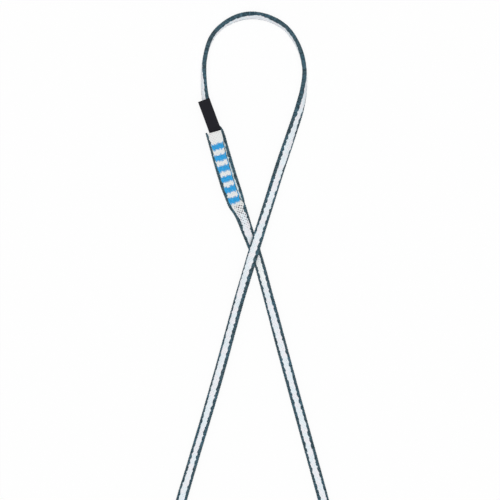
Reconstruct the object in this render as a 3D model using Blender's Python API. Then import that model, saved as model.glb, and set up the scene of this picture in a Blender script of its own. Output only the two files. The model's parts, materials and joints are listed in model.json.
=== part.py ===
"""A narrow climbing sling: one strip of polyethylene webbing sewn into a closed loop.

The sling lies on the ground in a slack figure of eight, the small lobe at +Y and the
large one at -Y. The strip is woven with a white polyethylene core between two dyed
selvedges. Its two ends overlap in the splice: the front ply lies on the back ply, a
little to one side of it, and six bar tacks hold the two together. A folded label is
caught between the plies at the front ply's cut end and can be lifted on that line.
Units are metres, +Z is up and the ground is at z = 0.
"""

import math

import bmesh
import bpy
import numpy as np
from mathutils import Vector

MM = 0.001

# The webbing where it runs free, and where the bar tacks press it flat
TAPE_WIDTH = 8.0 * MM
TAPE_THICK = 3.4 * MM
SEWN_WIDTH = 11.1 * MM
SEWN_THICK = 2.3 * MM
SELVEDGE_WIDTH = 1.85 * MM
SELVEDGE_ROUND_SHARE = 0.95
CLEARANCE = 0.3 * MM

# The splice
PLY_OFFSET = 3.2 * MM
TACK_COUNT = 6
FIRST_TACK = 11.8 * MM
LAST_TACK = 6.7 * MM
TACK_PITCH = 8.7 * MM
SPLICE_LENGTH = FIRST_TACK + (TACK_COUNT - 1) * TACK_PITCH + LAST_TACK
TACK_LENGTH = 4.4 * MM
TACK_WIDTH = 8.9 * MM
TACK_SHIFT = 0.9 * MM
TACK_THREADS = 12
THREAD_HEIGHT = 0.5 * MM
THREAD_GROOVE = 0.15 * MM
THREAD_STAGGER = 0.6 * MM
STITCH_RADIUS = 0.2 * MM
STITCH_ROW_INSET = 0.9 * MM
STITCH_EDGE_MARGIN = 0.3 * MM

# The label
LABEL_WIDTH = 9.5 * MM
LABEL_LENGTH = 25.2 * MM
LABEL_LAYER = 0.4 * MM
LABEL_SLIT = 0.3 * MM
LABEL_ROOT_THICK = 0.8 * MM
LABEL_ROOT_MARGIN = 0.8 * MM
LABEL_ROOT_TUCK = 2.6 * MM
LABEL_SHIFT = 2.1 * MM
LABEL_TURN = math.radians(4.5)
HINGE_SETBACK = 1.2 * MM

# How finely the solids follow the strip's route
LONGEST_STEP = 14.0 * MM
TURN_STEP = math.radians(12)
TWIST_STEP = math.radians(7)
SPREAD_STEP_SHARE = 0.25
FINE_SPAN_STEPS = 24

# The strip's heights above the ground, from how its layers lie on each other
BACK_PLY_LIFT = THREAD_HEIGHT + CLEARANCE
FRONT_PLY_LIFT = BACK_PLY_LIFT + SEWN_THICK + CLEARANCE
LABEL_PLY_LIFT = FRONT_PLY_LIFT + LABEL_ROOT_THICK + CLEARANCE
UNDER_TILT = math.radians(12)


def rest_height(tilt, width, thick):
    """Height of the strip's middle above what it lies on, when it is tilted."""
    return (width - thick) / 2 * abs(math.sin(tilt)) + thick / 2


CROSSING_LIFT = 2 * rest_height(UNDER_TILT, TAPE_WIDTH, TAPE_THICK) + CLEARANCE

# Where the strands cross, from the middle of the sling's outline, and how far the legs run
# from there to where the large lobe begins
CROSSING = (0.59 * MM, 76.7 * MM)
LEG_REACH = 180.0 * MM
LARGE_LOBE_START = (CROSSING[0], CROSSING[1] - LEG_REACH)

# The route of the strip's middle line from the front ply's cut end, in millimetres from
# the crossing, as x, y, tilt in degrees, share of the sewn flattening, and lift. The
# large lobe's rows are from its start. The tilt raises the edge on the left of the way
# the route runs.
FRONT_PLY = [
    (-32.5, 91.8, 0, 1.0, LABEL_PLY_LIFT),
    (-28.6, 78.0, 0, 1.0, LABEL_PLY_LIFT),
    (-27.7, 74.4, 0, 1.0, FRONT_PLY_LIFT),
    (-21.8, 54.0, 0, 1.0, FRONT_PLY_LIFT),
    (-17.0, 39.8, 0, 1.0, FRONT_PLY_LIFT),
    (-15.8, 36.4, 0, 1.0, FRONT_PLY_LIFT),
    (-12.5, 31.0, 0, 0.85, FRONT_PLY_LIFT),
]
NECK_AND_UNDER_LEG = [
    (-8.2, 22.1, 3, 0.5, 0.35 * FRONT_PLY_LIFT),
    (-3.8, 10.7, 6, 0.2, 0),
    (2.8, -7.5, 10, 0, 0),
    (10.8, -36.5, 16, 0, 0),
    (25.3, -90.8, 0, 0, 0),
    (47.6, -172.1, 0, 0, 0),
]
LARGE_LOBE = [
    (54.9, -19.0, -14, 0, 0),
    (62.0, -46.0, -40, 0, 0),
    (68.0, -73.5, -72, 0, 0),
    (68.8, -103.0, -88, 0, 0),
    (57.6, -131.7, -90, 0, 0),
    (33.0, -151.0, -90, 0, 0),
    (1.5, -157.5, -90, 0, 0),
    (-29.5, -151.2, -90, 0, 0),
    (-54.6, -133.2, -90, 0, 0),
    (-68.5, -105.5, -86, 0, 0),
    (-70.0, -75.0, -68, 0, 0),
    (-64.6, -43.7, -36, 0, 0),
]
OVER_LEG = [
    (-55.2, -188.6, -10, 0, 0),
    (-29.6, -102.3, -12, 0, 0),
    (-20.0, -67.6, -19, 0, 0.06 * CROSSING_LIFT),
    (-12.0, -38.5, -21, 0, 0.38 * CROSSING_LIFT),
    (-4.2, -12.8, -14, 0, CROSSING_LIFT),
    (3.6, 12.8, -4, 0, CROSSING_LIFT),
    (9.3, 31.2, 4, 0, 0.42 * CROSSING_LIFT),
]
SMALL_LOBE = [
    (18.4, 60.1, 20, 0, 0),
    (29.6, 93.3, 33, 0, 0),
    (34.7, 109.2, 42, 0, 0),
    (38.2, 125.0, 64, 0, 0),
    (39.0, 141.0, 87, 0, 0),
    (34.7, 157.8, 98, 0, 0),
    (24.4, 173.1, 107, 0, 0),
    (9.3, 181.4, 114, 0, 0),
    (-6.2, 182.9, 118, 0, 0),
    (-20.5, 177.9, 110, 0, 0),
    (-32.8, 166.7, 99, 0, 0),
    (-38.9, 149.0, 85, 0, 0),
    (-39.5, 130.0, 70, 0, 0),
    (-37.8, 116.0, 58, 0, 0),
]
UNDER_LABEL = [
    (-35.9, 109.0, 36, 0, 0),
    (-33.7, 101.6, 12, 0.12, 0),
    (-31.7, 96.2, 0, 0.45, 0.2 * BACK_PLY_LIFT),
]
BACK_PLY_SHARES = (0.03, 0.27, 0.5, 0.8)


def smooth_line(points):
    """Dense points of a centripetal Catmull-Rom curve, and each given point's index."""
    given = np.array(points, float)
    padded = np.vstack([2 * given[0] - given[1], given, 2 * given[-1] - given[-2]])
    dense = []
    for p0, p1, p2, p3 in zip(padded, padded[1:], padded[2:], padded[3:]):
        t1 = math.sqrt(np.linalg.norm(p1 - p0))
        t2 = t1 + math.sqrt(np.linalg.norm(p2 - p1))
        t3 = t2 + math.sqrt(np.linalg.norm(p3 - p2))
        for t in np.linspace(t1, t2, FINE_SPAN_STEPS, endpoint=False):
            a1 = ((t1 - t) * p0 + t * p1) / t1
            a2 = ((t2 - t) * p1 + (t - t1) * p2) / (t2 - t1)
            a3 = ((t3 - t) * p2 + (t - t2) * p3) / (t3 - t2)
            b1 = ((t2 - t) * a1 + t * a2) / t2
            b2 = ((t3 - t) * a2 + (t - t1) * a3) / (t3 - t1)
            dense.append(((t2 - t) * b1 + (t - t1) * b2) / (t2 - t1))
    dense.append(given[-1])
    return np.array(dense), np.arange(len(given)) * FINE_SPAN_STEPS


def monotone(knots, values, at):
    """A smooth curve through the values that never overshoots them."""
    knots = np.asarray(knots, float)
    values = np.asarray(values, float)
    steps = np.diff(knots)
    slopes = np.diff(values) / steps
    bends = np.zeros(len(knots))
    same_way = slopes[:-1] * slopes[1:] > 0
    bends[1:-1][same_way] = 2 / (1 / slopes[:-1][same_way] + 1 / slopes[1:][same_way])
    i = np.clip(np.searchsorted(knots, at, side="right") - 1, 0, len(steps) - 1)
    t = (at - knots[i]) / steps[i]
    rise = values[i + 1] - values[i]
    return (
        values[i]
        + rise * t**2 * (3 - 2 * t)
        + steps[i] * t * (1 - t) * (bends[i] * (1 - t) - bends[i + 1] * t)
    )


class Strip:
    """The strip's middle line: place, heading, tilt, width, thickness and height."""

    def __init__(self, route):
        line, self.marks = smooth_line([row[:2] for row in route])
        self.line = line
        self.lengths = np.append(0, np.cumsum(np.linalg.norm(np.diff(line, axis=0), axis=1)))
        ways = np.gradient(line, axis=0)
        self.ways = ways / np.linalg.norm(ways, axis=1)[:, None]
        self.knots = self.lengths[self.marks]
        self.tilts = [math.radians(row[2]) for row in route]
        self.spreads = [row[3] for row in route]
        self.lifts = [row[4] for row in route]

    def place(self, distance):
        return np.array([np.interp(distance, self.lengths, axis) for axis in self.line.T])

    def heading(self, distance):
        way = np.array([np.interp(distance, self.lengths, axis) for axis in self.ways.T])
        return way / np.linalg.norm(way)

    def tilt(self, distance):
        return float(monotone(self.knots, self.tilts, distance))

    def width(self, distance):
        spread = float(monotone(self.knots, self.spreads, distance))
        return TAPE_WIDTH + spread * (SEWN_WIDTH - TAPE_WIDTH)

    def thick(self, distance):
        spread = float(monotone(self.knots, self.spreads, distance))
        return TAPE_THICK + spread * (SEWN_THICK - TAPE_THICK)

    def bottom(self, distance):
        return float(monotone(self.knots, self.lifts, distance))

    def middle(self, distance):
        rest = rest_height(self.tilt(distance), self.width(distance), self.thick(distance))
        return self.bottom(distance) + rest

    def top(self, distance):
        return 2 * self.middle(distance) - self.bottom(distance)

    def left(self, distance):
        way = self.heading(distance)
        return np.array([-way[1], way[0]])

    def beside(self, distance, offset):
        """The point this far to the left of the middle line."""
        return self.place(distance) + offset * self.left(distance)

    def ring(self, distance, outline):
        """An outline across the strip, as points (across, through), set in its place."""
        x, y = self.place(distance)
        middle = Vector((x, y, self.middle(distance)))
        left = Vector((*self.left(distance), 0))
        up = Vector((0, 0, 1))
        tilt = self.tilt(distance)
        across = math.cos(tilt) * left + math.sin(tilt) * up
        through = math.cos(tilt) * up - math.sin(tilt) * left
        return [middle + a * across + t * through for a, t in outline]

    def stations(self):
        """Distances of the solids' rings: closer where the strip turns or changes."""
        found = []
        for i, (start, end) in enumerate(zip(self.knots, self.knots[1:])):
            ways = self.ways[self.marks[i] : self.marks[i + 1] + 1]
            turns = ways[:-1, 0] * ways[1:, 1] - ways[:-1, 1] * ways[1:, 0]
            steps = max(
                (end - start) / LONGEST_STEP,
                np.abs(turns).sum() / TURN_STEP,
                abs(self.tilts[i + 1] - self.tilts[i]) / TWIST_STEP,
                abs(self.spreads[i + 1] - self.spreads[i]) / SPREAD_STEP_SHARE,
            )
            count = max(1, math.ceil(steps))
            found.extend(start + (end - start) * k / count for k in range(count))
        return found + [self.knots[-1]]


def from_start(start, rows):
    """Route rows with their places in metres from the sling's middle."""
    return [(start[0] + x * MM, start[1] + y * MM, *rest) for x, y, *rest in rows]


def whole_route():
    """The route with the back ply laid under the front ply, moved to one side of it."""
    rows = from_start(CROSSING, FRONT_PLY + NECK_AND_UNDER_LEG)
    front = Strip(rows)
    rows = rows + from_start(LARGE_LOBE_START, LARGE_LOBE)
    rows = rows + from_start(CROSSING, OVER_LEG + SMALL_LOBE + UNDER_LABEL)
    for share in BACK_PLY_SHARES:
        distance = share * SPLICE_LENGTH
        place = front.beside(distance, PLY_OFFSET)
        rows.append((*place, 0, 1.0, BACK_PLY_LIFT))
    end = place + (SPLICE_LENGTH - distance) * front.heading(distance)
    rows.append((*end, 0, 1.0, BACK_PLY_LIFT))
    return rows


def core_outline(width, thick):
    half = width / 2 - SELVEDGE_WIDTH - CLEARANCE
    return [(-half, -thick / 2), (half, -thick / 2), (half, thick / 2), (-half, thick / 2)]


def selvedge_outline(width, thick, side):
    """The rounded edge of the webbing, on the left (1) or on the right (-1)."""
    radius = thick / 2
    inner = width / 2 - SELVEDGE_WIDTH
    bulge = min(radius, SELVEDGE_ROUND_SHARE * SELVEDGE_WIDTH)
    outline = [(inner, -radius), (inner, radius)]
    for degrees in (90, 45, 0, -45, -90):
        angle = math.radians(degrees)
        across = width / 2 - bulge + bulge * math.cos(angle)
        outline.append((across, radius * math.sin(angle)))
    outline = [(side * a, t) for a, t in outline]
    return outline[::-1] if side > 0 else outline


def loft(name, rings):
    """A closed solid through rings of as many points each, with flat ends."""
    shape = bmesh.new()
    laid = [[shape.verts.new(point) for point in ring] for ring in rings]
    for near, far in zip(laid, laid[1:]):
        for i in range(len(near)):
            j = (i + 1) % len(near)
            shape.faces.new((near[i], near[j], far[j], far[i]))
    shape.faces.new(laid[0][::-1])
    shape.faces.new(laid[-1])
    bmesh.ops.recalc_face_normals(shape, faces=shape.faces[:])
    mesh = bpy.data.meshes.new(name)
    shape.to_mesh(mesh)
    shape.free()
    return bpy.data.objects.new(name, mesh)


def make_material(name, colour, roughness):
    material = bpy.data.materials.new(name)
    material.use_nodes = True
    shader = material.node_tree.nodes["Principled BSDF"]
    shader.inputs["Base Color"].default_value = (*colour, 1)
    shader.inputs["Roughness"].default_value = roughness
    shader.inputs["Metallic"].default_value = 0
    material.diffuse_color = (*colour, 1)
    return material


def add_part(obj, collection, material):
    obj.data.materials.clear()
    obj.data.materials.append(material)
    collection.objects.link(obj)
    obj.data.shade_smooth()
    obj.data.set_sharp_from_angle(angle=math.radians(50))
    return obj


def add_cutter(obj, collection):
    obj.hide_render = True
    obj.display_type = "WIRE"
    collection.objects.link(obj)
    return obj


def combine(obj, other, operation):
    modifier = obj.modifiers.new(f"{operation.lower()}_{other.name}", "BOOLEAN")
    modifier.operation = operation
    modifier.solver = "EXACT"
    modifier.object = other


def make_webbing(strip, collection, materials):
    """The core and the two selvedges, which run the strip's whole length."""
    stations = strip.stations()

    def run(name, outline_of):
        rings = []
        for distance in stations:
            outline = outline_of(strip.width(distance), strip.thick(distance))
            rings.append(strip.ring(distance, outline))
        return loft(name, rings)

    core = run("webbing_core", core_outline)
    left = run("selvedge_left", lambda width, thick: selvedge_outline(width, thick, 1))
    right = run("selvedge_right", lambda width, thick: selvedge_outline(width, thick, -1))
    add_part(core, collection, materials["core"])
    add_part(left, collection, materials["selvedge"])
    add_part(right, collection, materials["selvedge"])
    return core, left, right


def stitch_places():
    """Where a tack's stitches go through, as (across, along) from the front ply's middle."""
    back_selvedge = PLY_OFFSET - SEWN_WIDTH / 2 + SELVEDGE_WIDTH / 2
    core_half = SEWN_WIDTH / 2 - SELVEDGE_WIDTH - CLEARANCE
    inset = STITCH_RADIUS + CLEARANCE + STITCH_EDGE_MARGIN
    row = TACK_LENGTH / 2 - STITCH_ROW_INSET
    across = (back_selvedge, PLY_OFFSET - core_half + inset, core_half - inset)
    return [(a, side * row) for a in across for side in (-1, 1)]


def upright_pins(name, strip, distance, low, high, radius):
    """Six-sided pins at the stitch places of the tack at this distance."""
    shape = bmesh.new()
    for across, along in stitch_places():
        x, y = strip.beside(distance, across) + along * strip.heading(distance)
        pin = bmesh.ops.create_cone(
            shape,
            cap_ends=True,
            segments=6,
            radius1=radius,
            radius2=radius,
            depth=high - low,
        )
        bmesh.ops.translate(shape, verts=pin["verts"], vec=(x, y, (low + high) / 2))
    mesh = bpy.data.meshes.new(name)
    shape.to_mesh(mesh)
    shape.free()
    return bpy.data.objects.new(name, mesh)


def thread_bar(name, strip, distance, base, outwards):
    """A tack's bar of threads, each lying along the strip, with staggered ends."""
    x, y = strip.place(distance)
    left = Vector((*strip.left(distance), 0))
    way = Vector((*strip.heading(distance), 0))
    rings = []
    for i in range(2 * TACK_THREADS + 1):
        crest = i % 2 == 1
        height = THREAD_HEIGHT - (0 if crest else THREAD_GROOVE)
        half = TACK_LENGTH / 2 - (0 if crest else THREAD_STAGGER)
        share = i / (2 * TACK_THREADS) - 0.5
        foot = Vector((x, y, base)) + (TACK_SHIFT + share * TACK_WIDTH) * left
        head = foot + Vector((0, 0, outwards * height))
        rings.append([foot - half * way, foot + half * way, head + half * way, head - half * way])
    return loft(name, rings)


def make_tacks(strip, collection, cutters, materials):
    """The bar tacks, each a bar on either face with its stitches through both plies."""
    holes = bmesh.new()
    for number in range(1, TACK_COUNT + 1):
        distance = FIRST_TACK + (number - 1) * TACK_PITCH
        top = strip.top(distance) + CLEARANCE
        bottom = THREAD_HEIGHT
        tack = thread_bar(f"bar_tack_{number}", strip, distance, top, 1)
        back = thread_bar(f"back_bar_{number}", strip, distance, bottom, -1)
        sunk = (THREAD_HEIGHT - THREAD_GROOVE) / 2
        pins = upright_pins(
            f"stitches_{number}", strip, distance, bottom - sunk, top + sunk, STITCH_RADIUS
        )
        add_part(tack, collection, materials["thread"])
        combine(tack, add_cutter(pins, cutters), "UNION")
        combine(tack, add_cutter(back, cutters), "UNION")
        bore = upright_pins(
            f"bore_{number}", strip, distance, 0, top + CLEARANCE, STITCH_RADIUS + CLEARANCE
        )
        holes.from_mesh(bore.data)
        bpy.data.objects.remove(bore)
    mesh = bpy.data.meshes.new("stitch_holes")
    holes.to_mesh(mesh)
    holes.free()
    return add_cutter(bpy.data.objects.new("stitch_holes", mesh), cutters)


class LabelFrame:
    """The label's own directions, from the front ply's cut end."""

    def __init__(self, strip):
        away = -strip.heading(0)
        angle = math.atan2(away[1], away[0]) + LABEL_TURN
        self.out = Vector((math.cos(angle), math.sin(angle), 0))
        self.side = Vector((math.sin(angle), -math.cos(angle), 0))
        x, y = strip.beside(0, LABEL_SHIFT)
        level = BACK_PLY_LIFT + SEWN_THICK + CLEARANCE + LABEL_ROOT_THICK
        self.hinge = Vector((x, y, level)) + HINGE_SETBACK * self.out

    def rise(self, strip):
        """The angle at which the flap clears the strand that it lies on."""
        under = LABEL_LAYER + LABEL_SLIT / 2
        steepest = 0
        for distance in strip.stations():
            place = Vector((*strip.place(distance), self.hinge.z)) - self.hinge
            reach = place.dot(self.out)
            near_side = abs(place.dot(self.side)) < LABEL_WIDTH
            if not near_side or not CLEARANCE < reach < LABEL_LENGTH:
                continue
            height = strip.top(distance) + CLEARANCE + under - self.hinge.z
            steepest = max(steepest, math.atan2(height, reach))
        return steepest


def hairpin_outline():
    """The folded ribbon from the side: two layers, joined by a round fold at the far end."""
    outer = LABEL_LAYER + LABEL_SLIT / 2
    inner = LABEL_SLIT / 2
    fold = LABEL_LENGTH - outer
    outline = [(CLEARANCE / 2, -outer)]
    for degrees in (-90, -45, 0, 45, 90):
        angle = math.radians(degrees)
        outline.append((fold + outer * math.cos(angle), outer * math.sin(angle)))
    outline.append((CLEARANCE / 2, outer))
    outline.append((CLEARANCE / 2, inner))
    for degrees in (90, 45, 0, -45, -90):
        angle = math.radians(degrees)
        outline.append((fold + inner * math.cos(angle), inner * math.sin(angle)))
    outline.append((CLEARANCE / 2, -inner))
    return outline


def make_label(strip, collection, holes, materials):
    """The label's root between the plies, and its flap, which lifts on the hinge line."""
    frame = LabelFrame(strip)
    half = LABEL_WIDTH / 2 * frame.side
    inside = FIRST_TACK + TACK_LENGTH / 2 + LABEL_ROOT_MARGIN + HINGE_SETBACK
    near = -CLEARANCE / 2
    low = -LABEL_ROOT_THICK
    rings = []
    for side in (-half, half - LABEL_ROOT_TUCK * frame.side):
        corners = []
        for reach, height in ((-inside, low), (near, low), (near, 0), (-inside, 0)):
            corners.append(frame.hinge + side + reach * frame.out + Vector((0, 0, height)))
        rings.append(corners)
    root = add_part(loft("label_root", rings), collection, materials["label"])
    combine(root, holes, "DIFFERENCE")

    rise = frame.rise(strip)
    along = math.cos(rise) * frame.out + Vector((0, 0, math.sin(rise)))
    through = Vector((0, 0, math.cos(rise))) - math.sin(rise) * frame.out
    flap = loft(
        "label_flap",
        [
            [side + reach * along + height * through for reach, height in hairpin_outline()]
            for side in (-half, half)
        ],
    )
    flap.location = frame.hinge
    add_part(flap, collection, materials["label"])
    print("label hinge at", [round(c, 6) for c in frame.hinge])
    print("label hinge axis", [round(c, 6) for c in frame.side], "rise", math.degrees(rise))


def make_sling():
    for obj in list(bpy.data.objects):
        bpy.data.objects.remove(obj)
    parts = bpy.data.collections.new("polyethylene_sling")
    cutters = bpy.data.collections.new("cutters")
    for collection in (parts, cutters):
        bpy.context.scene.collection.children.link(collection)
    cutters.hide_render = True
    materials = {
        "core": make_material("white_polyethylene", (0.80, 0.82, 0.85), 0.6),
        "selvedge": make_material("teal_selvedge", (0.045, 0.11, 0.15), 0.7),
        "thread": make_material("blue_thread", (0.03, 0.33, 0.80), 0.55),
        "label": make_material("black_label", (0.013, 0.012, 0.017), 0.8),
    }
    strip = Strip(whole_route())
    loop = strip.lengths[-1] - SPLICE_LENGTH
    print("strip", round(strip.lengths[-1] / MM), "mm, loop", round(loop / MM), "mm")
    core, _, right = make_webbing(strip, parts, materials)
    holes = make_tacks(strip, parts, cutters, materials)
    combine(core, holes, "DIFFERENCE")
    combine(right, holes, "DIFFERENCE")
    make_label(strip, parts, holes, materials)


make_sling()
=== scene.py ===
"""The looks of a sewn sling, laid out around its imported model.

The sling is one strip of webbing: a white woven core between two teal selvedges, whose
ends overlap in the splice. Each bar tack there is one thread, sewn to and fro over the
splice and back beneath it. A folded black ribbon, the label, comes out between the plies.
Lengths are in metres, and the patterns of the materials are in millimetres.
"""

import json
import math

import bmesh
import bpy
import numpy as np
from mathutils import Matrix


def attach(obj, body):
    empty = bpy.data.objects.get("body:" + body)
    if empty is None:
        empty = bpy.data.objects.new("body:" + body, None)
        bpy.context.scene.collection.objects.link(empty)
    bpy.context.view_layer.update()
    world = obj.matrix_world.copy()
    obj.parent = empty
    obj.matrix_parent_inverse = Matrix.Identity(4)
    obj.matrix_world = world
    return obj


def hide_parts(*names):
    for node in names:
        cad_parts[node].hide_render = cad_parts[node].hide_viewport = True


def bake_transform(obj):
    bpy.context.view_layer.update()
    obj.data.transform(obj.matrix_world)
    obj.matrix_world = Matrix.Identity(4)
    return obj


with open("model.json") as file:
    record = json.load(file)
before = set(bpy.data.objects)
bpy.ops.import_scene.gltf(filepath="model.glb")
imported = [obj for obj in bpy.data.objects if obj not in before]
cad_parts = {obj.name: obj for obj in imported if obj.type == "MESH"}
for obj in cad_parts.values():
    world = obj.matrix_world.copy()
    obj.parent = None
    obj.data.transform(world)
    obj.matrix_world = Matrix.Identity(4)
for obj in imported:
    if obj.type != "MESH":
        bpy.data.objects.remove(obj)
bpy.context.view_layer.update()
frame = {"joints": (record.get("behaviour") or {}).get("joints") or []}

MM = 0.001

# The view: straight down, at the photograph's scale
PHOTO_PIXELS = 500
PHOTO_SCALE = 0.78 * MM
PHOTO_CENTRE = (-2.92 * MM, 76.78 * MM)
FOCUS_HEIGHT = 4.0 * MM
CAMERA_DISTANCE = 3.0

# The pale floor and the light
FLOOR_REACH = 8.0
FLOOR_DROP = 0.5 * MM
FLOOR_PAINT = (0.95, 0.95, 0.95, 1)
FLOOR_GLOW = 0.9
WHITE = (1, 1, 1, 1)
ROOM_LIGHT = 0.5
LAMP_LIGHT = 1.5
LAMP_SPREAD = math.radians(60)
LAMP_LEAN = math.radians(8)

# The webbing where it runs free, and where the bar tacks press it flat
TAPE_WIDTH = 8.0 * MM
TAPE_THICK = 3.4 * MM
SEWN_WIDTH = 11.1 * MM
SEWN_THICK = 2.3 * MM

# The splice
SPLICE_LENGTH = 62.0 * MM
PLY_OFFSET = 3.2 * MM
TACK_PLACES = [(11.8 + 8.7 * i) * MM for i in range(6)]
TACK_LENGTH = 6.7 * MM
TACK_WIDTH = 9.3 * MM
TACK_SHIFT = 0.7 * MM

# The label, whose flap lifts about its hinge: heights are from the hinge and places are
# how far out the ribbon reaches from it
LABEL_WIDTH = 9.5 * MM
LABEL_LENGTH = 25.2 * MM
LABEL_INSIDE = 15.8 * MM
LABEL_RISE = math.radians(9.975)
RIBBON_THICK = 0.36 * MM
ROOT_HEIGHTS = (-0.6 * MM, -0.2 * MM)
FLAP_HEIGHTS = (-0.35 * MM, 0.35 * MM)
ROOT_PLACES = (-LABEL_INSIDE, -8 * MM, -1 * MM)
FLAP_PLACES = [reach * MM for reach in (3, 6, 10, 14, 18, 22)]
# The folded end is round, and under the front ply the label's left edge is tucked in
LABEL_SPREAD = 0.6 * MM
LABEL_BULGE = 0.65
LABEL_TUCK = 2.6 * MM
TUCK_ZONE = (-0.8 * MM, -2.2 * MM)
RIBBON_STEPS = 8
RIBBON_SHARES = [1, 0.985, 0.95, *np.linspace(0.9, -0.9, 19), -0.95, -0.985, -1]
RIBBON_FULLNESS = 4
RIBBON_ROUNDING = 0.35

# Heights of the strip's lower side above the ground
BACK_LIFT = 0.8 * MM
FRONT_LIFT = 3.4 * MM
LABEL_LIFT = 4.5 * MM
CROSSING_LIFT = 4.66 * MM

# The route of the strip's middle line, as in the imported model: x, y in millimetres from
# the crossing, tilt in degrees, share of the sewn flattening, and lift
CROSSING = (0.59 * MM, 76.7 * MM)
TILT, SPREAD, LIFT = 2, 3, 4
ROUTE = [
    (-32.5, 91.8, 0, 1.0, LABEL_LIFT),
    (-28.6, 78.0, 0, 1.0, LABEL_LIFT),
    (-27.7, 74.4, 0, 1.0, FRONT_LIFT),
    (-21.8, 54.0, 0, 1.0, FRONT_LIFT),
    (-17.0, 39.8, 0, 1.0, FRONT_LIFT),
    (-15.8, 36.4, 0, 1.0, FRONT_LIFT),
    (-12.5, 31.0, 0, 0.85, FRONT_LIFT),
    (-8.2, 22.1, 3, 0.5, 0.35 * FRONT_LIFT),
    (-3.8, 10.7, 6, 0.2, 0),
    (2.8, -7.5, 10, 0, 0),
    (10.8, -36.5, 16, 0, 0),
    (25.3, -90.8, 0, 0, 0),
    (47.6, -172.1, 0, 0, 0),
    (54.9, -199.0, -14, 0, 0),
    (62.0, -226.0, -40, 0, 0),
    (68.0, -253.5, -72, 0, 0),
    (68.8, -283.0, -88, 0, 0),
    (57.6, -311.7, -90, 0, 0),
    (33.0, -331.0, -90, 0, 0),
    (1.5, -337.5, -90, 0, 0),
    (-29.5, -331.2, -90, 0, 0),
    (-54.6, -313.2, -90, 0, 0),
    (-68.5, -285.5, -86, 0, 0),
    (-70.0, -255.0, -68, 0, 0),
    (-64.6, -223.7, -36, 0, 0),
    (-55.2, -188.6, -10, 0, 0),
    (-29.6, -102.3, -12, 0, 0),
    (-20.0, -67.6, -19, 0, 0.06 * CROSSING_LIFT),
    (-12.0, -38.5, -21, 0, 0.38 * CROSSING_LIFT),
    (-4.2, -12.8, -14, 0, CROSSING_LIFT),
    (3.6, 12.8, -4, 0, CROSSING_LIFT),
    (9.3, 31.2, 4, 0, 0.42 * CROSSING_LIFT),
    (18.4, 60.1, 20, 0, 0),
    (29.6, 93.3, 33, 0, 0),
    (34.7, 109.2, 42, 0, 0),
    (38.2, 125.0, 64, 0, 0),
    (39.0, 141.0, 87, 0, 0),
    (34.7, 157.8, 98, 0, 0),
    (24.4, 173.1, 107, 0, 0),
    (9.3, 181.4, 114, 0, 0),
    (-6.2, 182.9, 118, 0, 0),
    (-20.5, 177.9, 110, 0, 0),
    (-32.8, 166.7, 99, 0, 0),
    (-38.9, 149.0, 85, 0, 0),
    (-39.5, 130.0, 70, 0, 0),
    (-37.8, 116.0, 58, 0, 0),
    (-35.9, 109.0, 36, 0, 0),
    (-33.7, 101.6, 12, 0.12, 0),
    (-31.7, 96.2, 0, 0.45, 0.2 * BACK_LIFT),
]
# The back ply lies beside the front ply, which is these first rows, at shares of the splice
FRONT_ROWS = 13
BACK_PLY_SHARES = (0.03, 0.27, 0.5, 0.8)
SPAN_STEPS = 24

# The weave
SECTION_POWER = 3.0
CORE_INSET = 0.15 * MM
# The core sinks where the selvedge's yarns lie over it
WRAP_SINK = 0.16 * MM
WRAP_START = (0.45 * MM, 0.9 * MM)
# The strip is pressed thin at its cut ends, and at the front ply's the yarns of the right
# selvedge (-1) stand out
END_PINCH = 0.45
PINCH_REACH = 1.3 * MM
FRAYED = {1: 0, -1: 0.9 * MM}
CORE_RINGS = 2700
CORE_SHARES = [1, 0.965, 0.88, *np.linspace(0.78, -0.78, 13), -0.88, -0.965, -1]
# The diamonds of the weave, which fade towards the core's edges
TWILL_ALONG = 2.4
TWILL_ACROSS = 2.1
TWILL_RELIEF = 0.035 * MM
TWILL_FADE = (0.95, 0.75)
# A selvedge is a shell round the core's edge, four rings to a yarn
RINGS_PER_YARN = 4
SHELL_OUTSIDE = 14
SHELL_INSIDE = 5
INSIDE_SHARE = 0.96
SHELL_PROUD = 0.1 * MM
SHELL_DEEP = 0.35 * MM
YARN_PITCH = 1.3
YARN_LEAN = 0.8
YARN_RELIEF = 0.12 * MM
YARN_SCATTER = 0.3 * MM
SCATTER_SHARE = 0.3
EDGE_RELIEF = 0.3 * MM
EDGE_SCATTER = 0.12 * MM
EDGE_LEVEL = 0.35
SLIM_SELVEDGE = 1.2 * MM
# How far the selvedges reach over the upper and the under face, as distance along the
# strip and width, in millimetres
LEFT_ABOVE = [
    (0, 0.3), (9, 0.2), (50, 0.15), (62, 0.35), (65, 2.0), (69, 1.6), (73, 1.5), (77, 1.0),
    (81, 1.7), (92, 1.45), (105, 1.8), (170, 1.8), (205, 2.1), (240, 1.9), (252, 2.1),
    (270, 2.2), (300, 1.85), (680, 1.85), (700, 2.35), (725, 2.3), (740, 2.1), (768, 1.55),
    (800, 1.75), (830, 1.75), (845, 1.3), (864, 1.0), (876, 1.0), (888, 1.5), (912, 2.1),
    (936, 2.1), (948, 1.75), (958, 1.3), (975, 1.5), (985, 2.0), (1000, 2.2), (1010, 2.0),
    (1140, 1.85), (1152, 1.2), (1160, 0.5), (1168, 0.8), (1174, 1.2), (1185, 1.85),
    (1206, 2.0), (1216, 2.35), (1228, 2.2), (1236, 2.05), (1244, 1.9), (1262, 1.85),
]
LEFT_BENEATH = [
    (0, 1.85), (1030, 1.85), (1044, 0.9), (1056, 1.4), (1068, 2.0), (1080, 1.0), (1092, 2.0),
    (1110, 1.85), (1262, 1.85),
]
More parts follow.
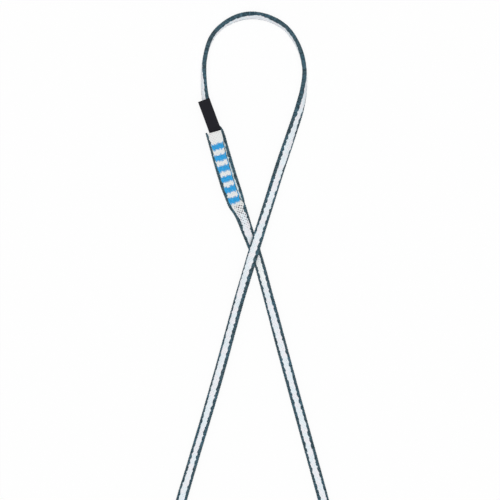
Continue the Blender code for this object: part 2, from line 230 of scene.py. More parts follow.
RIGHT_ABOVE = [
    (0, 1.65), (12, 1.55), (24, 1.6), (36, 2.3), (60, 2.35), (66, 2.2), (74, 2.85), (78, 2.3),
    (82, 1.85), (92, 1.95), (120, 2.05), (132, 2.2), (144, 1.7), (156, 1.65), (168, 1.85),
    (228, 2.1), (250, 1.7), (264, 1.65), (300, 1.85), (690, 1.7), (720, 2.05), (744, 1.85),
    (768, 2.05), (800, 1.85), (840, 1.9), (852, 2.35), (864, 2.0), (905, 1.85), (915, 1.6),
    (940, 1.6), (950, 1.35), (960, 1.35), (968, 1.7), (976, 2.2), (984, 2.3), (992, 1.2),
    (1002, 0.4), (1160, 0.4), (1185, 1.0), (1200, 1.85), (1262, 1.85),
]
RIGHT_BENEATH = [
    (0, 1.85), (1020, 1.85), (1040, 0.4), (1115, 0.4), (1135, 1.85), (1262, 1.85),
]
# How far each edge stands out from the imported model's, as distance and reach in millimetres
LEFT_EDGE = [
    (0, 1.4), (7, 1.3), (13, 0), (54, 0), (59, 1.1), (62, 1.4), (66, 0.85), (70, 0.45), (76, 0),
    (82, -0.2), (88, -0.25), (96, 0), (108, -0.2), (132, -0.2), (150, 0), (676, 0),
    (686, -0.25), (700, -0.4), (735, -0.38), (765, -0.2), (850, -0.2), (870, 0), (885, -0.1),
    (900, -0.27), (915, -0.27), (936, -0.12), (948, 0), (1168, 0), (1180, 0.2), (1188, 0.1),
    (1196, -0.45), (1212, -0.3), (1225, 0), (1248, 0), (1256, -0.4), (1261, -1.1),
]
RIGHT_EDGE = [
    (0, 0), (42, 0), (50, -0.25), (58, -0.5), (66, -0.6), (76, -0.05), (82, 0.15), (96, 0.1),
    (108, -0.15), (150, -0.15), (165, 0), (1262, 0),
]
# The selvedges' scalloped inner edges, and how deep the bar tacks press the splice
TOOTH_PITCH = 4.9
TOOTH_SPREAD = (0.85, 1.15)
TOOTH_HEIGHTS = (0.55, 1.0)
TOOTH_COUNT = 400
TOOTH_LEAN = 0.7
TOOTH_ROUNDING = 0.8
TOOTH_REACH = 0.75 * MM
TOOTH_SHARE = 0.8
TOOTH_LEVEL = 0.6
PRESSED = 0.22 * MM
PRESS_REACH = 0.55 * TACK_LENGTH

# The bar tacks' thread: runs across the webbing first, then a close zigzag over them
THREAD_RADIUS = 0.28 * MM
RUNS_ACROSS = (-1.3 * MM, 0, 1.3 * MM)
RUN_RISE = 0.1 * MM
RUN_SHARE = 0.93
RUN_POINTS = 5
NEEDLE_HOLES = 18
HOLE_WANDER = 0.1 * MM
HOLE_SCATTER = 1.6 * MM
THREAD_DIVE = 0.5 * MM
# A stitch from its hole towards the next, as share of the way and height over the face
STITCH = (
    (0, -THREAD_DIVE), (0.07, 0.1 * MM), (0.3, 0.4 * MM), (0.7, 0.4 * MM), (0.93, 0.1 * MM),
)
# The thread's tail, which is shorter at the first tack
FIRST_TAIL = 0.2 * MM
TAIL_REACH = 2.2 * MM
TAIL_SHARES = (0.55, 1)
TAIL_TURN = 0.9
TAIL_SUNK = 0.2 * MM
THREAD_SIDES = 8
THREAD_STEPS = 4

# The looks of the yarns: linear red, green, blue and opacity, with the pattern sizes and
# the places along the strip in millimetres
FREE_WHITES = (0.82, 0.90, 0.95, 1), (0.90, 0.90, 0.94, 1)
SEWN_WHITES = (0.78, 0.84, 0.82, 1), (0.88, 0.84, 0.84, 1)
# The back ply's white is bluer for the thread's blue fuzz, and lighter as painted light against
# the shade beside the front ply
BACK_PLY_FUZZ_AND_LIGHT = (0.80, 0.95, 1.0, 1)
# Painted light: the under leg is painted lighter where it leaves the crossing, against the over
# leg's shade there
CROSSING_PAINTED_LIGHT = (0.97, 1.0, 1.0, 1)
# Painted shade: the grey of the hollows between the weave's floats
HOLLOW_SHADE_GREY = (0.40, 0.42, 0.47, 1)
# Painted shade: the near black seen in the openings of the stretched weave
GAP_SHADE_BLACK = (0.10, 0.075, 0.095, 1)
SEWN_FADE = 8
BACK_PLY_FADE = 2
NECK_ALONG = (58, 62, 68, 84)
NECK_ACROSS = (-2.6, -1.2)
# The stretch of the under leg that is painted lighter, along the strip
UNDER_CROSSING = (102, 108, 116, 132)
FILAMENT_PITCH = 0.42
TEALS = (0.086, 0.148, 0.180, 1), (0.080, 0.188, 0.255, 1)
# Painted shade in the grooves between the yarn's turns, also used for the yarn's random dark
# grain
GRAIN_AND_GROOVE_SHADE_TEAL = (0.006, 0.020, 0.029, 1)
HAZE_TEAL = (0.075, 0.135, 0.165, 1)
FIBRE_PITCH = 0.22
# A shaded and a lit blue, painted along the thread's twist
THREAD_SHADED_AND_LIT_BLUES = (0.012, 0.30, 0.68, 1), (0.050, 0.54, 1.0, 1)
THREAD_TWIST = 0.9
# A shaded and a lit black, painted along the ribbon's rib
RIBBON_SHADED_AND_LIT_BLACKS = (0.008, 0.008, 0.011, 1), (0.020, 0.019, 0.026, 1)
RIB_PITCH = 0.45
RIBBON_WARP = 0.4

WELD = 0.001 * MM
SHARP_ANGLE = math.radians(60)


def make_camera():
    """The overhead camera, far enough away to see the sling without perspective."""
    data = bpy.data.cameras.new("overhead_camera")
    data.lens = data.sensor_width * CAMERA_DISTANCE / (PHOTO_PIXELS * PHOTO_SCALE)
    data.clip_end = 10 * CAMERA_DISTANCE
    camera = bpy.data.objects.new("overhead_camera", data)
    camera.location = (*PHOTO_CENTRE, FOCUS_HEIGHT + CAMERA_DISTANCE)
    bpy.context.scene.collection.objects.link(camera)
    bpy.context.scene.camera = camera


def smooth_line(given, span_steps):
    """Dense points of a centripetal Catmull-Rom curve, and each given point's index."""
    given = np.array(given, float)
    padded = np.vstack([2 * given[0] - given[1], given, 2 * given[-1] - given[-2]])
    dense = []
    for p0, p1, p2, p3 in zip(padded, padded[1:], padded[2:], padded[3:]):
        t1 = math.sqrt(np.linalg.norm(p1 - p0))
        t2 = t1 + math.sqrt(np.linalg.norm(p2 - p1))
        t3 = t2 + math.sqrt(np.linalg.norm(p3 - p2))
        for t in np.linspace(t1, t2, span_steps, endpoint=False):
            a1 = ((t1 - t) * p0 + t * p1) / t1
            a2 = ((t2 - t) * p1 + (t - t1) * p2) / (t2 - t1)
            a3 = ((t3 - t) * p2 + (t - t2) * p3) / (t3 - t2)
            b1 = ((t2 - t) * a1 + t * a2) / t2
            b2 = ((t3 - t) * a2 + (t - t1) * a3) / (t3 - t1)
            dense.append(((t2 - t) * b1 + (t - t1) * b2) / (t2 - t1))
    dense.append(given[-1])
    return np.array(dense), np.arange(len(given)) * span_steps


def monotone(knots, values, at):
    """A smooth curve through the values that never overshoots them."""
    steps = np.diff(knots)
    slopes = np.diff(values) / steps
    bends = np.zeros(len(knots))
    same_way = slopes[:-1] * slopes[1:] > 0
    bends[1:-1][same_way] = 2 / (1 / slopes[:-1][same_way] + 1 / slopes[1:][same_way])
    i = np.clip(np.searchsorted(knots, at, side="right") - 1, 0, len(steps) - 1)
    t = (at - knots[i]) / steps[i]
    return (
        values[i]
        + (values[i + 1] - values[i]) * t**2 * (3 - 2 * t)
        + steps[i] * t * (1 - t) * (bends[i] * (1 - t) - bends[i + 1] * t)
    )


def from_table(rows, distance):
    """A length looked up along the strip, in metres."""
    knots, lengths = np.array(rows, float).T * MM
    return monotone(knots, lengths, np.clip(distance, knots[0], knots[-1]))


def smooth_step(low, high, value):
    """0 at `low`, 1 at `high`, and smooth between them."""
    t = np.clip((value - low) / (high - low), 0, 1)
    return t * t * (3 - 2 * t)


def run_along(line):
    """How far along a line each of its points is."""
    return np.append(0, np.cumsum(np.linalg.norm(np.diff(line, axis=0), axis=1)))


def headings(line):
    """The unit directions of a line at its points."""
    ways = np.gradient(line, axis=0)
    return ways / np.linalg.norm(ways, axis=1)[:, None]


class Strip:
    """The strip's middle line, with its tilt, flattening and height along it."""

    def __init__(self, rows):
        self.rows = np.array(rows, float)
        self.line, marks = smooth_line(self.rows[:, :2], SPAN_STEPS)
        self.ways = headings(self.line)
        self.run = run_along(self.line)
        self.length = self.run[-1]
        self.knots = self.run[marks]

    def value(self, column, distance):
        """One of the route's columns, looked up along the strip."""
        return monotone(self.knots, self.rows[:, column], distance)

    def plan(self, distance):
        """Places on the middle line and the headings there, seen from above.

        Before its start the line runs on straight.
        """
        place = np.stack([np.interp(distance, self.run, axis) for axis in self.line.T], -1)
        way = np.stack([np.interp(distance, self.run, axis) for axis in self.ways.T], -1)
        way = way / np.linalg.norm(way, axis=-1, keepdims=True)
        return place + np.minimum(distance, 0)[..., None] * way, way

    def beside(self, distance, offset):
        """The place this far to the left of the middle line."""
        place, way = self.plan(distance)
        return place + offset * np.array([-way[1], way[0]])

    def size(self, distance):
        """The strip's width and thickness."""
        spread = self.value(SPREAD, distance)
        width = TAPE_WIDTH + spread * (SEWN_WIDTH - TAPE_WIDTH)
        return width, TAPE_THICK + spread * (SEWN_THICK - TAPE_THICK)

    def points(self, distance, across, through):
        """World points this far across the strip, to the left, and through it, upwards."""
        place, way = self.plan(distance)
        width, thick = self.size(distance)
        shifts = from_table(LEFT_EDGE, distance), from_table(RIGHT_EDGE, distance)
        across = across * (1 + np.where(across > 0, *shifts) / (width / 2))
        from_end = np.minimum(distance, self.length - distance)
        through = through * (1 - END_PINCH * smooth_step(PINCH_REACH, 0, from_end))
        tilt = np.radians(self.value(TILT, distance))
        rest = (width - thick) / 2 * np.abs(np.sin(tilt)) + thick / 2
        aside = across * np.cos(tilt) - through * np.sin(tilt)
        height = self.value(LIFT, distance) + rest
        height = height + across * np.sin(tilt) + through * np.cos(tilt)
        return np.stack(
            [place[..., 0] - aside * way[..., 1], place[..., 1] + aside * way[..., 0], height],
            -1,
        )

    def in_splice(self, distance):
        """How far along the splice a point is, from the front ply's cut end."""
        return np.where(
            distance < self.length / 2, distance, distance - self.length + SPLICE_LENGTH
        )


def whole_strip():
    """The strip with its back ply laid under the front ply, to one side of it."""
    rows = [(CROSSING[0] + x * MM, CROSSING[1] + y * MM, *rest) for x, y, *rest in ROUTE]
    front = Strip(rows[:FRONT_ROWS])
    for share in BACK_PLY_SHARES:
        distance = share * SPLICE_LENGTH
        place = front.beside(distance, PLY_OFFSET)
        rows.append((*place, 0, 1, BACK_LIFT))
    end = place + (SPLICE_LENGTH - distance) * front.plan(distance)[1]
    rows.append((*end, 0, 1, BACK_LIFT))
    return Strip(rows)


def section(width, thick, across, face, proud):
    """Points on a face of the rounded section at `across`, moved outwards by `proud`."""
    q = np.clip(np.abs(2 * across / width), 0, 1)
    b = (1 - q**SECTION_POWER) ** (1 / SECTION_POWER)
    out_across = np.sign(across) * q ** (SECTION_POWER - 1) / width
    out_through = face * b ** (SECTION_POWER - 1) / thick
    size = np.hypot(out_across, out_through)
    return (
        across + proud * out_across / size,
        face * b * thick / 2 + proud * out_through / size,
    )


def flat_ring(shares):
    """Points round a flat tube, over its top and back beneath, and the face of each."""
    ring = np.array(shares + shares[-2:0:-1])
    faces = np.array([1] * len(shares) + [-1] * (len(shares) - 2))
    faces[[0, len(shares) - 1]] = 0
    return ring, faces


def laid_grid(name, along, around, place, material):
    """A closed tube made from a grid.

    By a point's two indices, `place` gives its place in the world and its place in the
    pattern, which the finishes read as "lay".
    """
    shape = bmesh.new()
    bmesh.ops.create_grid(shape, x_segments=along, y_segments=around, size=1)
    mesh = bpy.data.meshes.new(name)
    shape.to_mesh(mesh)
    shape.free()
    flat = np.empty(3 * len(mesh.vertices))
    mesh.vertices.foreach_get("co", flat)
    corner = (flat.reshape(-1, 3)[:, :2] + 1) / 2
    i = np.rint(corner[:, 0] * along).astype(int)
    j = np.rint(corner[:, 1] * around).astype(int) % around
    points, lay = place(i, j)
    mesh.vertices.foreach_set("co", points.ravel())
    mesh.attributes.new("lay", "FLOAT_VECTOR", "POINT").data.foreach_set("vector", lay.ravel())
    shape = bmesh.new()
    shape.from_mesh(mesh)
    bmesh.ops.remove_doubles(shape, verts=shape.verts, dist=WELD)
    ends = [edge for edge in shape.edges if edge.is_boundary]
    bmesh.ops.holes_fill(shape, edges=ends)
    bmesh.ops.recalc_face_normals(shape, faces=shape.faces)
    shape.to_mesh(mesh)
    shape.free()
    mesh.shade_smooth()
    mesh.set_sharp_from_angle(angle=SHARP_ANGLE)
    mesh.materials.append(material)
    piece = bpy.data.objects.new(name, mesh)
    bpy.context.scene.collection.objects.link(piece)
    return piece


def pressed(strip, distance, face):
    """How far the bar tacks sink into the splice's outer faces."""
    place = strip.in_splice(distance)
    sunk = sum(np.exp(-(((place - tack) / PRESS_REACH) ** 4)) for tack in TACK_PLACES)
    outer = np.where(distance < strip.length / 2, face > 0, face < 0)
    return PRESSED * sunk * outer


def covered_width(distance, side, face):
    """How far the selvedge on the left (1) or right (-1) usually reaches over a face."""
    left, right = (
        np.where(face > 0, from_table(above, distance), from_table(beneath, distance))
        for above, beneath in ((LEFT_ABOVE, LEFT_BENEATH), (RIGHT_ABOVE, RIGHT_BENEATH))
    )
    return np.where(side > 0, left, right)


def make_core(strip, material):
    """The white woven core, a flat tube whose faces carry the weave's diamonds."""
    ring, faces = flat_ring(CORE_SHARES)

    def place(i, j):
        distance = i / CORE_RINGS * strip.length
        width, thick = strip.size(distance)
        inner_width = width - 2 * CORE_INSET
        across = ring[j] * inner_width / 2
        x, y = distance / MM, across / MM
        turns, lean = x / TWILL_ALONG, y / TWILL_ACROSS
        twill = np.cos(math.tau * (turns + lean)) + np.cos(math.tau * (turns - lean))
        proud = TWILL_RELIEF * twill * smooth_step(*TWILL_FADE, np.abs(ring[j]))
        wrapped = covered_width(distance, across, faces[j]) - (width / 2 - np.abs(across))
        proud = proud - WRAP_SINK * smooth_step(*WRAP_START, wrapped)
        proud = proud - pressed(strip, distance, faces[j])
        a, t = section(inner_width, thick, across, faces[j], proud)
        return strip.points(distance, a, t), np.stack([x, y, faces[j]], -1)

    return laid_grid("woven_core", CORE_RINGS, len(ring), place, material)


def teeth(distance, seed):
    """The selvedge's scalloped inner edge, from 0 to 1, each tooth a yarn's float."""
    x = np.maximum(distance, 0) / MM / TOOTH_PITCH
    draw = np.random.default_rng(seed)
    heights = draw.uniform(*TOOTH_HEIGHTS, TOOTH_COUNT)
    starts = np.cumsum(draw.uniform(*TOOTH_SPREAD, TOOTH_COUNT))
    tooth = np.searchsorted(starts, x)
    low = np.where(tooth > 0, starts[tooth - 1], 0)
    share = (x - low) / (starts[tooth] - low)
    return heights[tooth] * np.sin(math.pi * share**TOOTH_LEAN) ** TOOTH_ROUNDING


def make_selvedge(strip, side, seed, material):
    """A teal selvedge: yarns that wrap the webbing's edge, on the left (1) or right (-1)."""
    outside = np.linspace(-1, 1, SHELL_OUTSIDE + 1)
    inside = np.linspace(INSIDE_SHARE, -INSIDE_SHARE, SHELL_INSIDE)
    ring = np.append(outside, inside)
    is_outside = np.arange(len(ring)) <= SHELL_OUTSIDE

    yarns = round(strip.length / MM / YARN_PITCH)
    rings = RINGS_PER_YARN * yarns
    draw = np.random.default_rng(seed + 2)
    reaches, bulges = draw.uniform(-1, 1, (2, yarns + 1))

    def place(i, j):
        distance = i / rings * (strip.length + FRAYED[side]) - FRAYED[side]
        yarn = i // RINGS_PER_YARN
        width, thick = strip.size(distance)
        face = -np.sign(ring[j])
        turn = (1 - np.abs(ring[j])) * math.pi / 2
        tooth = np.where(face > 0, teeth(distance, seed), teeth(distance, seed + 1))
        covered = covered_width(distance, side, face)
        reach = np.minimum(TOOTH_REACH, TOOTH_SHARE * covered)
        covered = covered + reach * (tooth - TOOTH_LEVEL)
        reach = np.minimum(YARN_SCATTER, SCATTER_SHARE * covered)
        covered = covered + reach * reaches[yarn]
        inner = width / 2 - covered
        across = inner + covered * np.sin(turn)
        x = distance / MM
        ridge = 0.5 + 0.5 * np.cos(math.tau * (i / RINGS_PER_YARN + YARN_LEAN * ring[j]))
        bulge = EDGE_RELIEF * (ridge - EDGE_LEVEL) + EDGE_SCATTER * (0.5 + 0.5 * bulges[yarn])
        slim = np.minimum(covered_width(distance, side, 1), covered_width(distance, side, -1))
        bulge = bulge * np.minimum(1, slim / SLIM_SELVEDGE)
        proud = SHELL_PROUD + YARN_RELIEF * (ridge - 0.5) + bulge * (1 - ring[j] ** 2)
        proud = np.where(is_outside[j], proud, -SHELL_DEEP)
        proud = proud - pressed(strip, distance, face) * is_outside[j]
        a, t = section(width, thick, across, face, proud)
        return strip.points(distance, side * a, t), np.stack([x, ring[j], ridge], -1)

    name = "selvedge_yarn_left" if side > 0 else "selvedge_yarn_right"
    return laid_grid(name, rings, len(ring), place, material)


def tube_directions(line):
    """Two directions square to a line at each of its points, carried along untwisted."""
    ways = headings(line)
    # Any first direction will do that isn't along the line
    side = np.cross(ways[0], (0.3, 0.5, 0.8))
    sides = []
    for way in ways:
        side = side - side.dot(way) * way
        side = side / np.linalg.norm(side)
        sides.append(side)
    return np.array(sides), np.cross(ways, sides)


def sewn_face(strip, front, start, shift, face, holes, tail, draw):
    """The points of a thread sewn on one outer face of the splice, hole by hole.

    `front` and `start` are the tack's places on the front ply and on the ply of that face.
    Past the back ply's edge the thread lies against the front ply's lower face.
    """
    edge = -TACK_LENGTH / 2
    beside = holes[-1] + THREAD_RADIUS / 2
    plan = [
        (edge - tail, beside, -THREAD_DIVE),
        (edge - TAIL_TURN * tail, beside, -TAIL_SUNK),
        (edge, beside, -TAIL_SUNK),
    ]
    for row, along in enumerate(RUNS_ACROSS):
        run = np.linspace(holes[-1], holes[0], RUN_POINTS) * RUN_SHARE
        plan += [(along, across, RUN_RISE) for across in (run if row % 2 == 0 else run[::-1])]
    ends = TACK_LENGTH / 2 - draw.uniform(0, HOLE_SCATTER, len(holes))
    ends[::2] *= -1
    spots = np.stack([ends, holes], -1)
    for this, following in zip(spots, spots[1:]):
        plan += [(*(this + share * (following - this)), rise) for share, rise in STITCH]
    plan.append((*spots[-1], -THREAD_DIVE))
    points = []
    for along, across, rise in plan:
        middle = start
        width, thick = strip.size(middle)
        a, t = section(width, thick, across + TACK_SHIFT - shift, face, 0)
        if a < -width / 2:
            middle, a, t = front, a + shift, -thick / 2
        way = strip.plan(middle)[1]
        points.append(strip.points(middle, a, t + face * rise) + along * np.append(way, 0))
    return points


def make_tack(strip, number, material):
    """A bar tack: one thread sewn to and fro on the splice, and back beneath it."""
    draw = np.random.default_rng(number)
    middle = TACK_PLACES[number - 1]
    half = TACK_WIDTH / 2 - THREAD_RADIUS
    holes = np.linspace(-half, half, NEEDLE_HOLES)
    holes = holes + HOLE_WANDER * draw.uniform(-1, 1, NEEDLE_HOLES)
    tail = FIRST_TAIL if number == 1 else TAIL_REACH * draw.uniform(*TAIL_SHARES)
    above = sewn_face(strip, middle, middle, 0, 1, holes, tail, draw)
    back = strip.length - SPLICE_LENGTH + middle
    beneath = sewn_face(strip, middle, back, PLY_OFFSET, -1, holes[::-1], tail, draw)
    line, _ = smooth_line(above + beneath, THREAD_STEPS)
    sides, ups = tube_directions(line)
    run = run_along(line)

    def place(i, j):
        angle = math.tau * j / THREAD_SIDES
        round_it = np.cos(angle)[:, None] * sides[i] + np.sin(angle)[:, None] * ups[i]
        points = line[i] + THREAD_RADIUS * round_it
        return points, np.stack([run[i] / MM, j / THREAD_SIDES, 0 * angle], -1)

    return laid_grid(f"tack_thread_{number}", len(line) - 1, THREAD_SIDES, place, material)


def ribbon_line():
    """The folded ribbon from the side, as reach and height from the hinge."""
    out = np.array([math.cos(LABEL_RISE), math.sin(LABEL_RISE)])
    up = np.array([-out[1], out[0]])
    below, above = ([(reach, height) for reach in ROOT_PLACES] for height in ROOT_HEIGHTS)
    lower, upper = (
        [reach * out + height * up for reach in FLAP_PLACES] for height in FLAP_HEIGHTS
    )
    fold = LABEL_LENGTH - LABEL_SPREAD
    turn = [
        fold * out + LABEL_SPREAD * (math.cos(a) * out + LABEL_BULGE * math.sin(a) * up)
        for a in np.radians([-90, -45, 0, 45, 90])
    ]
    return smooth_line([*below, *lower, *turn, *upper[::-1], *above[::-1]], RIBBON_STEPS)[0]


def make_label(hinge, side, material):
    """The label: a ribbon folded in half, its ends held between the plies."""
    out = np.array([-side[1], side[0], 0])
    line = ribbon_line()
    ways = headings(line)
    run = run_along(line)
    half = LABEL_WIDTH / 2
    ring, faces = flat_ring(RIBBON_SHARES)

    def place(i, j):
        across = ring[j] * half
        full = RIBBON_FULLNESS * (1 - np.abs(ring[j])) ** RIBBON_ROUNDING
        lift = faces[j] * RIBBON_THICK / 2 * np.minimum(1, full)
        reach = line[i, 0] - lift * ways[i, 1]
        height = line[i, 1] + lift * ways[i, 0]
        tuck = LABEL_TUCK * smooth_step(*TUCK_ZONE, reach)
        across = across * (1 - np.where(across > 0, tuck, 0) / half)
        points = hinge + reach[:, None] * out + across[:, None] * side
        points[:, 2] += height
        return points, np.stack([run[i] / MM, across / MM, faces[j]], -1)

    return laid_grid("label_ribbon", len(line) - 1, len(ring), place, material)


class Value:
    """A number or colour in a finish, on which Python's operators add Math nodes."""

    def __init__(self, finish, socket):
        self.finish = finish
        self.socket = socket

    def __add__(self, other):
        return self.finish.math("ADD", self, other)

    def __sub__(self, other):
        return self.finish.math("SUBTRACT", self, other)

    def __rsub__(self, other):
        return self.finish.math("SUBTRACT", other, self)

    def __mul__(self, other):
        return self.finish.math("MULTIPLY", self, other)

    def __truediv__(self, other):
        return self.finish.math("DIVIDE", self, other)

    def __rtruediv__(self, other):
        return self.finish.math("DIVIDE", other, self)

    __radd__ = __add__
    __rmul__ = __mul__


class Finish:
    """A material under construction."""

    def __init__(self, name):
        self.material = bpy.data.materials.new(name)
        self.material.use_nodes = True
        self.tree = self.material.node_tree
        self.tree.nodes.clear()

    def node(self, kind, settings, inputs, output=0):
        """Add a node with its settings and inputs, and give one output, by name or number."""
        node = self.tree.nodes.new(kind)
        for name, setting in settings.items():
            setattr(node, name, setting)
        for name, value in inputs.items():
            if isinstance(value, Value):
                self.tree.links.new(value.socket, node.inputs[name])
            else:
                node.inputs[name].default_value = value
        return Value(self, node.outputs[output]) if node.outputs else None

    def math(self, operation, *values):
        """One Math node."""
        return self.node("ShaderNodeMath", {"operation": operation}, dict(enumerate(values)))

    def cosine(self, turns):
        """A wave that repeats with every whole turn."""
        return self.math("COSINE", math.tau * turns)

    def ramp(self, value, low, high):
        """0 at `low`, 1 at `high`, and smooth between them."""
        inputs = {"Value": value, "From Min": low, "From Max": high}
        return self.node("ShaderNodeMapRange", {"interpolation_type": "SMOOTHSTEP"}, inputs)

    def band(self, value, start, full, fading, end):
        """1 from `full` to `fading`, and 0 before `start` and past `end`."""
        return self.ramp(value, start, full) * self.ramp(value, end, fading)

    def mix(self, share, first, second):
        """A colour between two others."""
        return self.node(
            "ShaderNodeMix", {"data_type": "RGBA"}, {0: share, 6: first, 7: second}, 2
        )

    def lay(self):
        """The place in the pattern that `laid_grid` kept: a vector, then its three values."""
        vector = self.node("ShaderNodeAttribute", {"attribute_name": "lay"}, {}, "Vector")
        whole = {"Vector": vector}
        split = [self.node("ShaderNodeSeparateXYZ", {}, whole, axis) for axis in "XYZ"]
        return vector, *split

    def noise(self, vector, scale):
        """A soft random value about 0.5, at this many changes a unit."""
        inputs = {"Vector": vector, "Scale": scale, "Detail": 2.0}
        return self.node("ShaderNodeTexNoise", {}, inputs)

    def shade(self, colour, relief, roughness, specular):
        """Finish the material with its colour, a relief in millimetres, and its sheen."""
        bump = self.node("ShaderNodeBump", {}, {"Height": relief, "Distance": MM})
        inputs = {"Base Color": colour, "Roughness": roughness, "Normal": bump}
        inputs["Specular IOR Level"] = specular
        shader = self.node("ShaderNodeBsdfPrincipled", {}, inputs)
        self.node("ShaderNodeOutputMaterial", {}, {"Surface": shader})
        return self.material


def woven_white(length):
    """Bright woven polyethylene, with shade painted grey into the hollows between its floats.

    Where it leaves the splice it is stretched, and the shade in the gaps of its weave is
    painted dark.
    """
    finish = Finish("woven_polyethylene")
    vector, along, across, _ = finish.lay()
    lean = across / TWILL_ACROSS
    rise = finish.cosine(along / TWILL_ALONG + lean) + finish.cosine(along / TWILL_ALONG - lean)
    patch = finish.noise(vector, 0.35)
    hollow_shade = finish.ramp(rise, -0.9, -1.9) * finish.ramp(patch, 0.35, 0.62)
    front_end, back_start = SPLICE_LENGTH / MM, (length - SPLICE_LENGTH) / MM
    front = finish.ramp(along, front_end + SEWN_FADE, front_end)
    back = finish.ramp(along, back_start - SEWN_FADE, back_start)
    cast = finish.ramp(finish.noise(vector, 0.22), 0.4, 0.6)
    free = finish.mix(cast, *FREE_WHITES)
    sewn = finish.mix(finish.noise(vector, 0.6), *SEWN_WHITES)
    # The back ply is painted bluer for the thread's fuzz, and lighter as painted light against
    # its shade beside the front ply
    beside = finish.ramp(along, back_start - BACK_PLY_FADE, back_start + BACK_PLY_FADE)
    tape = finish.mix(beside, finish.mix(front + back, free, sewn), BACK_PLY_FUZZ_AND_LIGHT)
    # Painted light on the under leg just past the crossing
    tape = finish.mix(finish.band(along, *UNDER_CROSSING), tape, CROSSING_PAINTED_LIGHT)
    neck = finish.band(along, *NECK_ALONG) * finish.ramp(across, *NECK_ACROSS)
    # Only the deepest hollows open there, and more of them where a slow noise is high; their
    # dark is painted shade
    uneven = finish.ramp(rise - 8 * finish.noise(vector, 0.6), -4.1, -5.2)
    gap_shade = uneven * finish.ramp(rise, 0.6, -0.5) * neck
    # Painted shade in the weave's hollows, in patches
    colour = finish.mix(0.75 * hollow_shade, tape, HOLLOW_SHADE_GREY)
    colour = finish.mix(0.9 * gap_shade, colour, GAP_SHADE_BLACK)
    floats = finish.cosine(across / FILAMENT_PITCH + 0.25 * finish.cosine(along / TWILL_ALONG))
    relief = 0.03 * rise + 0.012 * floats + 0.03 * finish.noise(vector, 3.0)
    return finish.shade(colour, relief, roughness=0.45, specular=0.2)


def dyed_yarn():
    """Dyed yarn, with shade painted into the grooves between its turns, and a random grain."""
    finish = Finish("dyed_yarn")
    vector, along, around, ridge = finish.lay()
    patch = finish.noise(vector, 0.5)
    slow = finish.ramp(finish.noise(vector, 0.06), 0.38, 0.62)
    light = finish.mix(slow, *TEALS)
    grain = finish.ramp(finish.noise(vector, 0.95), 0.4, 0.6)
    # Painted shade in the grooves, mixed with random grain
    colour = finish.mix(0.4 * ridge + 0.6 * grain, GRAIN_AND_GROOVE_SHADE_TEAL, light)
    colour = finish.mix(0.2 * patch, colour, HAZE_TEAL)
    fibres = finish.cosine(along / FIBRE_PITCH + 3 * around)
    relief = 0.012 * fibres + 0.02 * finish.noise(vector, 4.0)
    return finish.shade(colour, relief, roughness=0.6, specular=0.15)


def blue_thread():
    """Bonded sewing thread with its twist, painted darker in the twist's grooves as shade and
    lighter on its ridges as light.
    """
    finish = Finish("sewing_thread")
    _, along, around, _ = finish.lay()
    twist = finish.cosine(along / THREAD_TWIST + around)
    colour = finish.mix(0.5 + 0.5 * twist, *THREAD_SHADED_AND_LIT_BLUES)
    return finish.shade(colour, 0.03 * twist, roughness=0.4, specular=0.25)


def black_ribbon():
    """Black woven ribbon with a fine rib, painted darker between the ribs as shade and lighter
    on them as light.
    """
    finish = Finish("label_ribbon")
    _, along, across, _ = finish.lay()
    rib = finish.cosine(along / RIB_PITCH)
    colour = finish.mix(0.5 + 0.5 * rib, *RIBBON_SHADED_AND_LIT_BLACKS)
    relief = 0.02 * rib + 0.01 * finish.cosine(across / RIBBON_WARP)
    return finish.shade(colour, relief, roughness=0.7, specular=0.12)


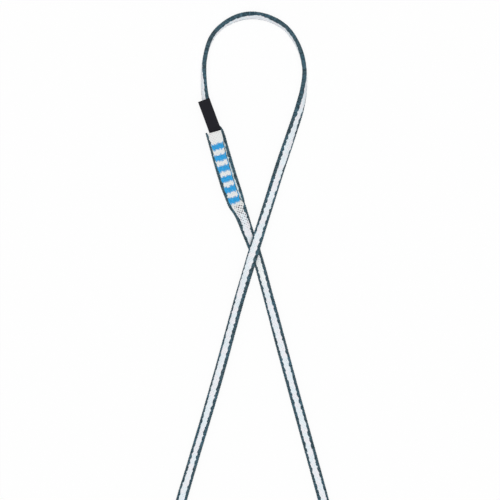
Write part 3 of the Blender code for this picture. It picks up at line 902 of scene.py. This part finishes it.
def make_floor():
    """A pale floor that looks white to the camera and keeps a faint shadow."""
    shape = bmesh.new()
    bmesh.ops.create_grid(shape, x_segments=1, y_segments=1, size=FLOOR_REACH)
    bmesh.ops.translate(shape, verts=shape.verts, vec=(0, 0, -FLOOR_DROP))
    mesh = bpy.data.meshes.new("floor")
    shape.to_mesh(mesh)
    shape.free()
    finish = Finish("white_floor")
    rays = 0
    for kind in ("Is Camera Ray", "Is Glossy Ray", "Is Transmission Ray"):
        rays = finish.math("MAXIMUM", rays, finish.node("ShaderNodeLightPath", {}, {}, kind))
    glow = finish.node("ShaderNodeEmission", {}, {"Color": WHITE, "Strength": 1})
    paint = finish.node("ShaderNodeBsdfDiffuse", {}, {"Color": FLOOR_PAINT})
    mixed = finish.node("ShaderNodeMixShader", {}, {0: FLOOR_GLOW * rays, 1: paint, 2: glow})
    finish.node("ShaderNodeOutputMaterial", {}, {"Surface": mixed})
    mesh.materials.append(finish.material)
    floor = bpy.data.objects.new("floor", mesh)
    bpy.context.scene.collection.objects.link(floor)


def make_lights():
    """A white room with one large soft lamp, nearly overhead."""
    world = bpy.data.worlds.new("white_room")
    bpy.context.scene.world = world
    world.use_nodes = True
    background = world.node_tree.nodes["Background"]
    background.inputs["Color"].default_value = WHITE
    background.inputs["Strength"].default_value = ROOM_LIGHT
    lamp = bpy.data.lights.new("soft_lamp", "SUN")
    lamp.energy = LAMP_LIGHT
    lamp.angle = LAMP_SPREAD
    sun = bpy.data.objects.new("soft_lamp", lamp)
    sun.rotation_euler = (LAMP_LEAN, 0, 0)
    bpy.context.scene.collection.objects.link(sun)


def make_sling():
    """The pieces of the sling with their materials, the imported parts they replace hidden, and
    all but the label riding on the sling.
    """
    strip = whole_strip()
    core = make_core(strip, woven_white(strip.length))
    yarn = dyed_yarn()
    selvedges = [make_selvedge(strip, side, seed, yarn) for side, seed in ((1, 11), (-1, 23))]
    thread = blue_thread()
    tacks = [make_tack(strip, number, thread) for number in range(1, len(TACK_PLACES) + 1)]
    hinge = np.array(frame["joints"][0]["pos_m"])
    side = np.array(frame["joints"][0]["axis"])
    label = make_label(hinge, side, black_ribbon())

    middle = strip.points(np.linspace(0, strip.length, 320), 0, 0)
    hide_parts("webbing_core")
    for piece, node in zip(selvedges, ("selvedge_left", "selvedge_right")):
        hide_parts(node)
    for number, piece in enumerate(tacks, 1):
        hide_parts(f"bar_tack_{number}")
    for piece in (core, *selvedges, *tacks):
        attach(piece, "sling")
    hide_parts("label_root", "label_flap")
    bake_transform(label)


make_camera()
make_floor()
make_lights()
make_sling()
bpy.context.scene.view_settings.view_transform = "Standard"
